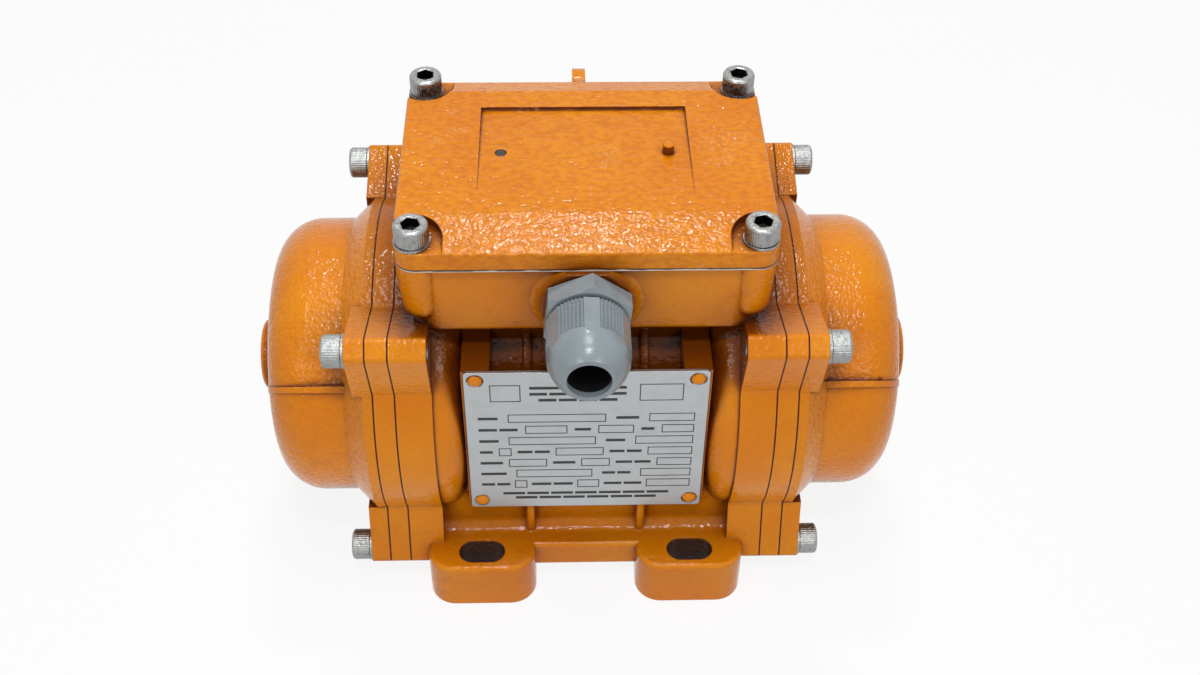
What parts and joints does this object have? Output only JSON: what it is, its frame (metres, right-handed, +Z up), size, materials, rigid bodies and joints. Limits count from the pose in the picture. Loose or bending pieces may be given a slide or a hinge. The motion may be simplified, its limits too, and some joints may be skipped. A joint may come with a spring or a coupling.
{
  "type": "external vibration motor",
  "caption": "Foot-mounted vibration motor: domed end covers over adjustable eccentric weights, top terminal box, front cable gland and rear lifting lug.",
  "frame": {"origin": "centre of the four foot slots, on the base plane", "axes": "+X along the shaft, +Z up from the base plane, -Y towards the cable gland"},
  "size_m": [0.211, 0.1329, 0.143],
  "materials": {
    "orange_enamel": "textured gloss enamel",
    "laminated_steel": "stacked laminations",
    "copper_winding": "varnished copper wire",
    "lead_sleeve": "silicone sleeve",
    "gasket_fibre": "pale fibre and rubber sheet",
    "zinc_steel": "dull zinc plate",
    "dark_steel": "oiled",
    "phenolic": "moulded",
    "brass": "turned",
    "grey_nylon": "moulded nylon",
    "black_rubber": "smooth",
    "plate_aluminium": "satin",
    "shaft_steel": "ground",
    "cast_aluminium": "cast",
    "bearing_steel": "polished",
    "cage_nylon": "moulded",
    "spring_steel": "blackened",
    "weight_steel": "sawn and turned plate"
  },
  "bodies": {
    "casing": {"motor_casing": "orange_enamel", "stator_core": "laminated_steel", "stator_windings": "copper_winding", "motor_leads": "lead_sleeve", "terminal_gasket": "gasket_fibre", "terminal_cover": "orange_enamel", "terminal_cover_screws": "zinc_steel", "terminal_cover_washers": "zinc_steel", "label_pin_left": "dark_steel", "label_pin_right": "orange_enamel", "terminal_block": "phenolic", "terminal_studs": "brass", "terminal_nuts": "brass", "earth_screw": "zinc_steel", "gland_body": "grey_nylon", "gland_washer": "black_rubber", "gland_seal": "black_rubber", "gland_nut": "grey_nylon", "data_plate": "plate_aluminium", "data_plate_rivets": "orange_enamel", "bearing_flange_left": "orange_enamel", "bearing_flange_right": "orange_enamel", "flange_seal_left": "black_rubber", "flange_seal_right": "black_rubber", "bearing_outer_ring_left": "bearing_steel", "bearing_outer_ring_right": "bearing_steel", "bearing_clip_left": "spring_steel", "bearing_clip_right": "spring_steel", "weight_cover_left": "orange_enamel", "weight_cover_right": "orange_enamel", "cover_seal_left": "black_rubber", "cover_seal_right": "black_rubber", "cover_screws_left": "zinc_steel", "cover_screws_right": "zinc_steel", "cover_washers_left": "zinc_steel", "cover_washers_right": "zinc_steel"},
    "rotor": {"rotor_shaft": "shaft_steel", "rotor_core": "laminated_steel", "rotor_cage": "cast_aluminium", "bearing_inner_ring_left": "bearing_steel", "bearing_inner_ring_right": "bearing_steel", "shaft_spacer_left": "shaft_steel", "shaft_spacer_right": "shaft_steel", "shaft_key_left": "shaft_steel", "shaft_key_right": "shaft_steel", "fixed_weight_left": "weight_steel", "fixed_weight_right": "weight_steel", "shaft_clip_left": "spring_steel", "shaft_clip_right": "spring_steel"},
    "adjustable_weight_left": {"adjustable_weight_left": "weight_steel", "clamp_screw_left": "zinc_steel"},
    "ball_train_left": {"bearing_balls_left": "bearing_steel", "bearing_cage_left": "cage_nylon"},
    "adjustable_weight_right": {"adjustable_weight_right": "weight_steel", "clamp_screw_right": "zinc_steel"},
    "ball_train_right": {"bearing_balls_right": "bearing_steel", "bearing_cage_right": "cage_nylon"}
  },
  "joints": [
    {"name": "rotor_spin", "type": "hinge", "parent": "casing", "child": "rotor", "pos_m": [0, 0, 0.058], "axis": [1, 0, 0], "continuous": true},
    {"name": "weight_setting_left", "type": "hinge", "parent": "rotor", "child": "adjustable_weight_left", "pos_m": [0, 0, 0.058], "axis": [1, 0, 0], "range_deg": [0, 180]},
    {"name": "weight_setting_right", "type": "hinge", "parent": "rotor", "child": "adjustable_weight_right", "pos_m": [0, 0, 0.058], "axis": [1, 0, 0], "range_deg": [0, 180]},
    {"name": "ball_train_spin_left", "type": "hinge", "parent": "casing", "child": "ball_train_left", "pos_m": [0, 0, 0.058], "axis": [1, 0, 0], "continuous": true},
    {"name": "ball_train_spin_right", "type": "hinge", "parent": "casing", "child": "ball_train_right", "pos_m": [0, 0, 0.058], "axis": [1, 0, 0], "continuous": true}
  ],
  "couplings": [
    {"joint": "ball_train_spin_left", "follows": "rotor_spin", "ratio": 0.3614},
    {"joint": "ball_train_spin_right", "follows": "rotor_spin", "ratio": 0.3614}
  ]
}
